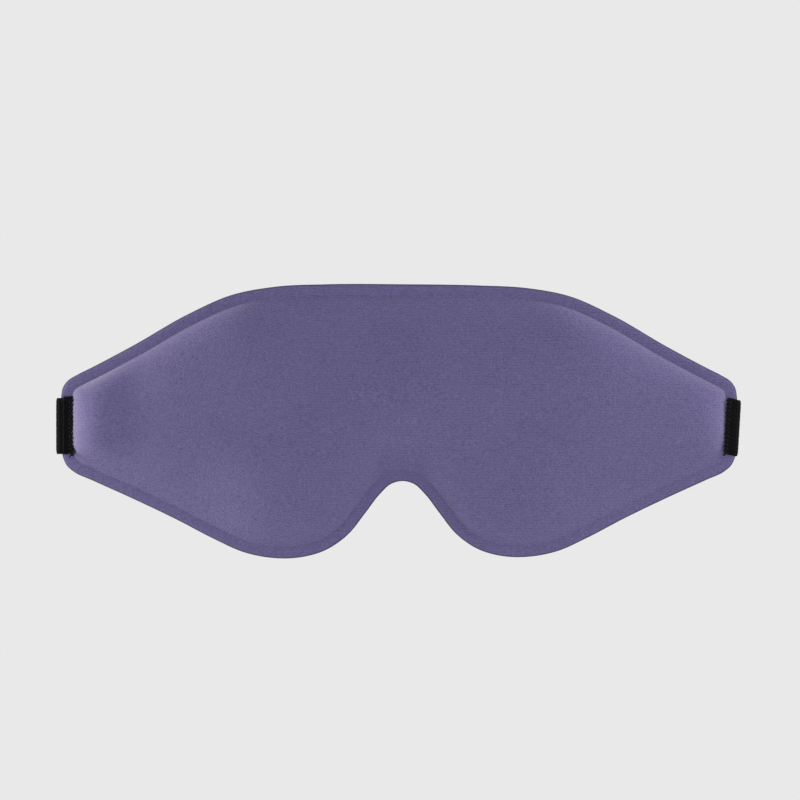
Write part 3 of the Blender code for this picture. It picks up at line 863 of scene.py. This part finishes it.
def webbing(name, line, swap, slant=None, ridge_at=None, drop=0.0, calm=None):
    """A woven band standing on edge along a line in the XY plane. Weft and ribs are in its surface.

    It may lean sideways by slant and sink by drop just after its sewn end. Between the two x of calm the weft
    hardly stands out, because that stretch draws together as the slider moves.
    """
    line = resample(line, STRAP_STEP)
    normal = normals_of(line, closed=False)
    length = lengths_along(line)
    across = np.linspace(-STRAP_WIDTH / 2, STRAP_WIDTH / 2, STRAP_COLUMNS)
    share = np.abs(across) / (STRAP_WIDTH / 2)
    flat = np.sqrt(np.clip(1 - share**14, 0, 1)) * 0.98 + 0.02
    rib = np.cos(2 * math.pi * across / (STRAP_RIB * MM))
    stagger = math.pi * (np.floor(across / (STRAP_RIB * MM)) % 2)
    vertices, uv = [], []
    for i, (point, out) in enumerate(zip(line, normal)):
        turned = 2 * math.pi * length[i] / (WEFT * MM)
        raised = 0.02 * math.cos(turned) + 0.03 * np.cos(turned + stagger) * (1 - share**6)
        if calm is not None:
            begun = ramp(point[0], calm[0], calm[0] + CALM_RUN)
            over = ramp(point[0], calm[1] - CALM_RUN, calm[1])
            raised = raised * (1 - begun * (1 - over))
        half = (STRAP / 2 - 0.05 * MM) * flat + (0.03 * rib + raised) * MM
        if ridge_at is not None:
            half = half + RIDGE * math.exp(-(((abs(point[0]) - ridge_at) / (0.35 * MM)) ** 2))
        wobble = 0.06 * MM * math.sin(length[i] / (2.3 * MM)) + 0.04 * MM * math.sin(length[i] / (0.9 * MM))
        sunk_by = drop * ramp(length[i], 0, 5 * MM) * (1 - ramp(length[i], 9 * MM, 50 * MM))
        z = across * (1 + wobble / (STRAP_WIDTH / 2)) - sunk_by
        lean = np.zeros(len(z)) if slant is None else slant(point[0], z)
        for face in (1, -1):
            order = slice(None) if face > 0 else slice(None, None, -1)
            h = (half * face)[order]
            zs = z[order]
            xs = point[0] + out[0] * h + lean[order]
            ys = point[1] + out[1] * h
            vertices += list(zip(xs, ys, zs))
            uv += [(length[i], a) for a in across[order]]
    size = 2 * STRAP_COLUMNS
    faces = tube_faces(len(line), size, False)
    for base in (0, (len(line) - 1) * size):
        faces += end_cap(base, size)
    return add_mesh(name, vertices, faces, ELASTIC, None, (swap,), uv)


def rim_front(x):
    """Y of the front of the rim."""
    return pre_curve(x) - LAMINATE


def tab_and_fold(side):
    """From the sewn end on the front of the rim, round the mask's end, to the straight stretch behind."""
    end, fold_x = TAB_END[side], FOLD_X[side]
    tab_y = rim_front(fold_x) - TAB_GAP - STRAP / 2
    start_y = rim_front(end) - TAB_GAP - STRAP / 2 - TAB_LIFT[side]
    fold = arc((fold_x, (tab_y + BACK_Y) / 2), (BACK_Y - tab_y) / 2, -90, 90)
    return [(side * x, y) for x, y in [(end, start_y)] + fold]


def sewn_tail(bar_x, loop_top, away, layers):
    """From the top of a loop down to the layer beside it, where the end is sewn back."""
    down = BACK_Y + layers * LAYER
    return [
        (bar_x + away * 1.2 * MM, loop_top),
        (bar_x + away * 4.8 * MM, down + 0.1 * MM),
        (bar_x + away * 5.8 * MM, down),
        (bar_x + away * TAIL, down),
    ]


def right_slant(x, z):
    """The right tab is sewn on a few degrees out of square."""
    return z * TAB_TILT * np.clip((x - 100 * MM) / (14 * MM), 0, 1)


def add_strap():
    """The elastic: one piece on the left and three on the right, whose ends stretch but not their middle."""
    left_bar, right_bar = RING_X - RING_BARS, RING_X + RING_BARS
    loop_top = RING_Y + RING_LOOP
    left = tab_and_fold(-1) + arc((left_bar, RING_Y), RING_LOOP, -90, 90)
    left += sewn_tail(left_bar, loop_top, -1, 1)
    left = webbing("left_strap", left, "strap_left", ridge_at=RIDGE_X)
    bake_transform(left)
    run = tab_and_fold(1) + [(MIDDLE_END, BACK_Y)]
    run = webbing("right_strap_run", run, "strap_right_run", right_slant, drop=SAG)
    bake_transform(run)
    turn = arc((right_bar, RING_Y), RING_LOOP, -90, -270)
    middle = [(MIDDLE_END, BACK_Y)] + turn
    middle += [(right_bar + 1.2 * MM, loop_top), (right_bar + 4.8 * MM, BACK_Y + LAYER + 0.1 * MM)]
    middle += [(right_bar + 5.8 * MM, BACK_Y + LAYER), (RETURN_START, BACK_Y + LAYER)]
    middle = webbing("right_strap_middle", middle, "strap_right_middle")
    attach(middle, "strap_back")
    back = [(RETURN_START, BACK_Y + LAYER)]
    back += arc((SLIDER_X + 0.9 * MM, SLIDER_CENTRE_BAR_Y), SLIDER_LOOP, -90, 90)
    back += sewn_tail(SLIDER_X, SLIDER_CENTRE_BAR_Y + SLIDER_LOOP, -1, 2)
    back = webbing("right_strap_return", back, "strap_right_return", calm=CALM)
    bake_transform(back)


add_strap()


# ---------------------------------------------------------------- stitching


def tube(path, radius, sides=7):
    """Vertices, faces and UVs of a thread along a smooth curve through the points, closed at both ends."""
    line = smooth_line(path, 0.22 * MM, closed=False)
    along = np.gradient(line, axis=0)
    along /= np.linalg.norm(along, axis=1)[:, None] + 1e-12
    length = lengths_along(line)
    first = np.cross(along, (0.3, 1, 0.2))
    first /= np.linalg.norm(first, axis=1)[:, None] + 1e-12
    second = np.cross(along, first)
    vertices, uv = [], []
    for i in range(len(line)):
        for k in range(sides):
            a = 2 * math.pi * k / sides
            vertices.append(line[i] + radius * (first[i] * math.cos(a) + second[i] * math.sin(a)))
            uv.append((length[i], a * radius))
    last = (len(line) - 1) * sides
    faces = tube_faces(len(line), sides, False)
    faces += [tuple(range(sides)), tuple(range(last + sides - 1, last - 1, -1))]
    return vertices, faces, uv


def add_threads(name, paths, radius, body, swap=None):
    """One piece made of a thread along each path."""
    vertices, faces, uv = [], [], []
    for path in paths:
        more, rings, place = tube(path, radius)
        faces += [tuple(k + len(vertices) for k in ring) for ring in rings]
        vertices += more
        uv += place
    return add_mesh(name, vertices, faces, THREAD, body, (swap,) if swap else (), uv)


def add_tab_stitching(side, where):
    """Overlock thread round the sewn end: along its top edge, down its inner edge, and a cut tail."""
    end = TAB_END[side]
    on_strap = rim_front(end) - TAB_GAP - STRAP - TAB_LIFT[side] - 0.1 * MM
    half = STRAP_WIDTH / 2
    rng = random.Random(31 + side)

    def placed(x, y, z):
        lean = float(right_slant(end, z)) if side > 0 else 0.0
        return side * x + lean, y, z

    def loose(amount):
        return rng.uniform(-amount, amount) * MM

    path = []
    for k in range(TOP_STITCHES[side]):
        x = end + (3.4 - 0.62 * k) * MM
        beyond = half + 0.45 * MM
        path.append(placed(x, on_strap - 0.05 * MM, half - (0.9 * MM + loose(0.3))))
        path.append(placed(x - 0.25 * MM, on_strap - 0.05 * MM, half - 0.1 * MM))
        path.append(placed(x - 0.4 * MM, front_at(side * x, beyond) - 0.1 * MM, beyond + loose(0.2)))
    for k in range(TEETH):
        z = half - 0.3 * MM - (2 * half - 0.6 * MM) * k / (TEETH - 1)
        tip = end - TOOTH + loose(0.12)
        path.append(placed(end + 1.0 * MM + loose(0.2), on_strap - 0.06 * MM, z))
        path.append(placed(end + 0.1 * MM, on_strap - 0.12 * MM, z - 0.25 * MM))
        path.append(placed(tip, min(on_strap, front_at(side * tip, z - 0.5 * MM)) - 0.1 * MM, z - 0.5 * MM))
        path.append(placed(end + 0.2 * MM, on_strap - 0.12 * MM, z - 0.9 * MM))
    pieces = [path]
    if side < 0:
        tail = [(end + 0.9 * MM, -7.9 * MM), (end - 0.5 * MM, -8.3 * MM), (end - 0.95 * MM, -8.9 * MM)]
        tail += [(end - 0.2 * MM, -9.7 * MM), (end + 0.7 * MM, -10.6 * MM), (end + 1.1 * MM, -11.3 * MM)]
        for strand, aside, above in ((tail, 0, 0.32 * MM), (tail[:5], 0.3 * MM, 0.25 * MM)):
            under = [min(on_strap, front_at(side * x, z)) for x, z in strand]
            pieces.append([placed(x - aside, y - above, z) for (x, z), y in zip(strand, under)])
    add_threads("tab_thread_" + where, pieces, THREAD_RADIUS, "mask", "tab_stitching_" + where)


def add_bartack(name, bar_x, layers, body, swap):
    """A dense zigzag across a sewn-back end."""
    y = BACK_Y + layers * LAYER + STRAP / 2 + 0.08 * MM
    near, far = bar_x - TAIL + 1.0 * MM, bar_x - TAIL + 3.0 * MM
    path = []
    for k in range(BARTACK_ROWS):
        z = (STRAP_WIDTH / 2 - 1.0 * MM) * (2 * k / (BARTACK_ROWS - 1) - 1)
        first, last = (near, far) if k % 2 else (far, near)
        path += [(first, y - 0.06 * MM, z), ((near + far) / 2, y + 0.04 * MM, z), (last, y - 0.06 * MM, z)]
    add_threads(name, [path], THREAD_RADIUS, body, swap)


def add_seam(name, line, height):
    """A running stitch along a flat line on the lining."""
    length = lengths_along(line)
    paths = []
    for start in np.arange(0, length[-1] - STITCH_LENGTH, STITCH_LENGTH + STITCH_SPACE):
        at = start + STITCH_LENGTH * np.array([0, 0.15, 0.5, 0.85, 1])
        x, z = (np.interp(at, length, line[:, k]) for k in range(2))
        lift = np.array([-0.15, 0.08, 0.16, 0.08, -0.15]) * MM
        paths.append(list(zip(x, height(np.stack([x, z], 1)) + lift, z)))
    add_threads(name, paths, SEAM_RADIUS, "mask")


for side, where in ((-1, "left"), (1, "right")):
    add_tab_stitching(side, where)
    pad_edge = pad_line(side) + normals_of(pad_line(side), closed=True) * (PAD_WIDTH / 2 + SEAM_OFFSET)
    add_seam("eye_pad_seam_" + where, np.vstack([pad_edge, pad_edge[:1]]), lay_on_lining)
add_bartack("ring_bartack", RING_X - RING_BARS, 1, "strap_back", "ring_stitching")
add_bartack("slider_bartack", SLIDER_X, 2, "slider", "slider_stitching")


# ---------------------------------------------------------------- the ring and the slider


def finish_hardware():
    """The ring and the slider keep their shape: their edges are eased and they get their plastic."""
    for name, bevel in (("ring", None), ("slider", 0.22 * MM)):
        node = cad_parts[name]
        node.data.materials.clear()
        node.data.materials.append(PLASTIC)
        weld = node.modifiers.new("weld", "WELD")
        weld.merge_threshold = 0.01 * MM
        if bevel:
            edge = node.modifiers.new("eased", "BEVEL")
            edge.width = bevel
            edge.segments = 3
            edge.limit_method = "ANGLE"
            edge.angle_limit = math.radians(40)
            edge.harden_normals = True
        else:
            smooth = node.modifiers.new("round", "SUBSURF")
            smooth.levels = smooth.render_levels = 2


finish_hardware()


# ---------------------------------------------------------------- camera, light and floor


def add_camera():
    """A long lens straight in front of the mask, held level."""
    data = bpy.data.cameras.new("camera")
    camera = bpy.data.objects.new("camera", data)
    bpy.context.collection.objects.link(camera)
    camera.location = (VIEW_X, -CAMERA_DISTANCE, VIEW_Z)
    camera.rotation_euler = (math.radians(90), 0, 0)
    data.sensor_width = 36
    data.lens = data.sensor_width * (CAMERA_DISTANCE + OUTLINE_Y) / FRAME_WIDTH
    data.clip_start = 0.01
    bpy.context.scene.camera = camera


def add_area(name, place, size, energy, colour=(1, 1, 1)):
    """A soft round light aimed at the mask."""
    data = bpy.data.lights.new(name, "AREA")
    data.shape = "DISK"
    data.size = size
    data.energy = energy
    data.color = colour
    light = bpy.data.objects.new(name, data)
    bpy.context.collection.objects.link(light)
    light.location = place
    light.rotation_euler = (-Vector(place)).to_track_quat("-Z", "Y").to_euler()


def add_world():
    """A plain backdrop for the camera, and an even light for everything else."""
    world = bpy.data.worlds.new("studio")
    bpy.context.scene.world = world
    world.use_nodes = True
    nodes, links = world.node_tree.nodes, world.node_tree.links
    nodes.clear()
    seen, lit = nodes.new("ShaderNodeBackground"), nodes.new("ShaderNodeBackground")
    seen.inputs["Color"].default_value = (BACKDROP, BACKDROP, BACKDROP, 1)
    lit.inputs["Color"].default_value = (0.955, 0.95, 0.99, 1)
    lit.inputs["Strength"].default_value = AMBIENT
    path, mix = nodes.new("ShaderNodeLightPath"), nodes.new("ShaderNodeMixShader")
    out = nodes.new("ShaderNodeOutputWorld")
    links.new(path.outputs["Is Camera Ray"], mix.inputs[0])
    links.new(lit.outputs[0], mix.inputs[1])
    links.new(seen.outputs[0], mix.inputs[2])
    links.new(mix.outputs[0], out.inputs[0])


def add_floor():
    """A plain pale floor, well below the mask."""
    place = (0, 0, FLOOR_Z)
    bpy.ops.mesh.primitive_circle_add(vertices=96, radius=FLOOR_RADIUS, fill_type="NGON", location=place)
    floor = bpy.context.object
    floor.name = "floor"
    s = Shader("floor_paint")
    floor.data.materials.append(s.finish(Base_Color=(0.62, 0.62, 0.62, 1), Roughness=0.9))


bpy.context.scene.view_settings.view_transform = "Standard"
add_camera()
add_world()
add_floor()
add_area("key_left", (-1.2, -0.10, 0.04), 0.35, 3.5, (1, 0.97, 0.92))
add_area("edge_left", (-1.15, 0.20, 0.15), 0.35, 13, (1, 0.94, 0.82))
add_area("key_right", (1.2, -0.12, 0.04), 0.35, 3.6, (1, 0.97, 0.92))
add_area("edge_right", (1.0, 0.15, 0.5), 0.35, 7, (1, 0.96, 0.88))
add_area("low_front", (0.0, -1.0, -0.15), 0.25, 2.4)
add_area("rim_back", (0.5, 1.3, 0.9), 0.8, 4)
